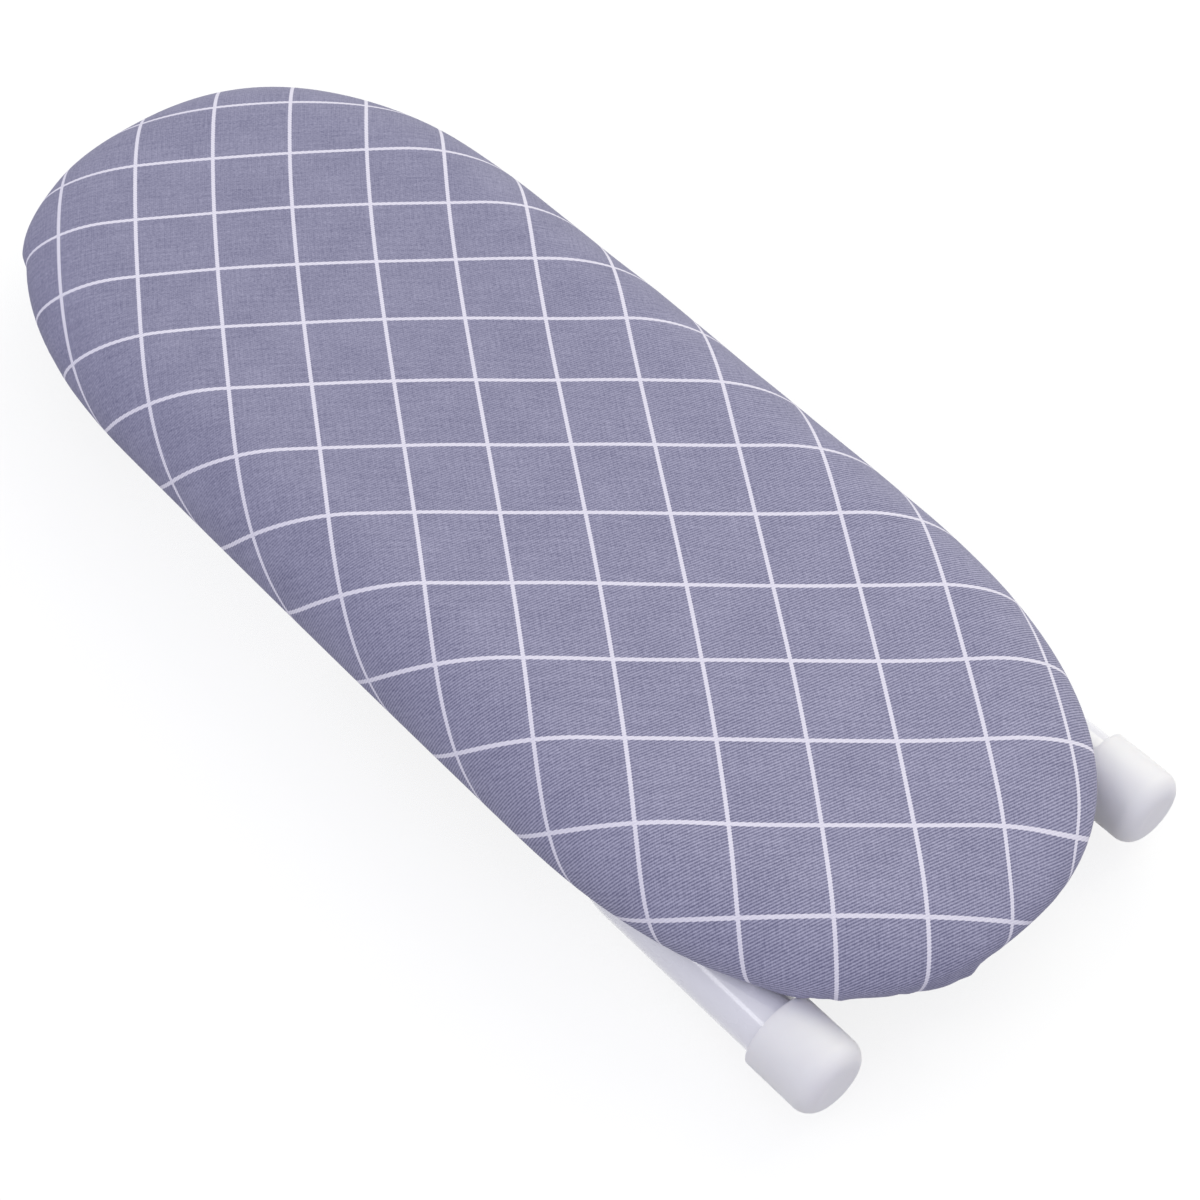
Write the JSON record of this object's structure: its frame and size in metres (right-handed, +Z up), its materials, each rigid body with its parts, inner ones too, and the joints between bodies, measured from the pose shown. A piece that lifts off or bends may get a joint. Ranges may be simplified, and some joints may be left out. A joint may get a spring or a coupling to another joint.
{
  "type": "ironing board",
  "caption": "Small table-top ironing board: padded deck with a checked cotton cover and two U-bent tube legs that fold flat under it.",
  "frame": {"origin": "under the middle of the board, on the surface that the folded board lies on (centre of the bottom of the bounding box)", "axes": "+X along the board towards the end where the near leg's foot caps lie, +Y across it, +Z up"},
  "size_m": [0.327, 0.131, 0.0442],
  "materials": {
    "cotton_cover": "fine cotton twill with a white windowpane check",
    "elastic_band": "flat braided elastic",
    "foam": "soft open-cell foam",
    "deck_board": "bare medium-density fibreboard",
    "zinc_plate": "zinc-plated sheet steel",
    "zinc_fastener": "zinc-plated",
    "nylon_block": "moulded white nylon, satin",
    "white_powder_coat": "smooth glossy white powder coat",
    "foot_plastic": "soft milky white plastic, satin"
  },
  "bodies": {
    "board": {"cover": "cotton_cover", "hem_elastic": "elastic_band", "foam_pad": "foam", "deck": "deck_board", "hinge_plate_near": "zinc_plate", "hinge_plate_far": "zinc_plate", "cradle_near_left": "nylon_block", "cradle_near_right": "nylon_block", "cradle_far_left": "nylon_block", "cradle_far_right": "nylon_block", "keeper_near_left": "nylon_block", "keeper_near_right": "nylon_block", "keeper_far_left": "nylon_block", "keeper_far_right": "nylon_block", "block_screws": "zinc_fastener", "tee_nuts": "zinc_fastener"},
    "leg_near": {"leg_tube_near": "white_powder_coat", "stop_lug_near": "white_powder_coat", "foot_cap_near_left": "foot_plastic", "foot_cap_near_right": "foot_plastic"},
    "leg_far": {"leg_tube_far": "white_powder_coat", "stop_lug_far": "white_powder_coat", "foot_cap_far_left": "foot_plastic", "foot_cap_far_right": "foot_plastic"}
  },
  "joints": [
    {"name": "near_leg_fold", "type": "hinge", "parent": "board", "child": "leg_near", "pos_m": [0.07146, 0, 0.0104], "axis": [0, 1, 0], "range_deg": [0, 99.02]},
    {"name": "far_leg_fold", "type": "hinge", "parent": "board", "child": "leg_far", "pos_m": [-0.09, 0, 0.0104], "axis": [0, 1, 0], "range_deg": [0, 97]}
  ]
}
